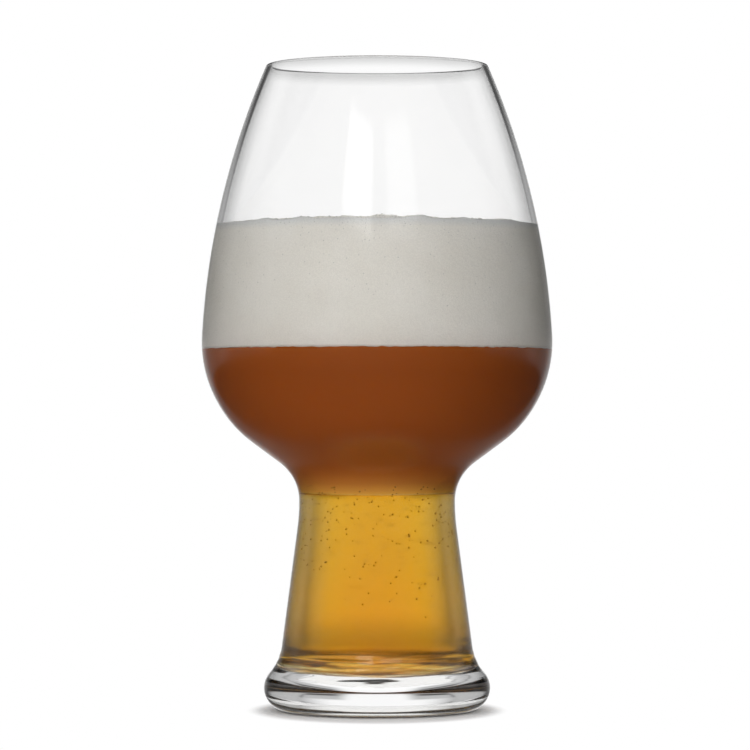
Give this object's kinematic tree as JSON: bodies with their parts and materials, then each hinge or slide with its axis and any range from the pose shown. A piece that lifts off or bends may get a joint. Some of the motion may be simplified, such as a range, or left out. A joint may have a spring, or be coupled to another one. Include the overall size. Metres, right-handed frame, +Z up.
{
  "type": "wheat beer glass",
  "caption": "Bulbous clear glass with a hollow tapered stem and a heavy round foot, filled with hazy amber wheat beer under a deep head of foam",
  "frame": {"origin": "on the glass's axis, on the surface that it stands on", "axes": "+Z is up along the axis of the glass; it is round, so X and Y are alike"},
  "size_m": [0.1024, 0.1024, 0.188],
  "materials": {
    "clear_glass": "clear, fire-polished",
    "wheat_beer": "hazy amber liquid",
    "foam": "fine cream froth, matt"
  },
  "bodies": {
    "root": {"glass": "clear_glass", "beer": "wheat_beer", "foam_head": "foam"}
  },
  "joints": []
}
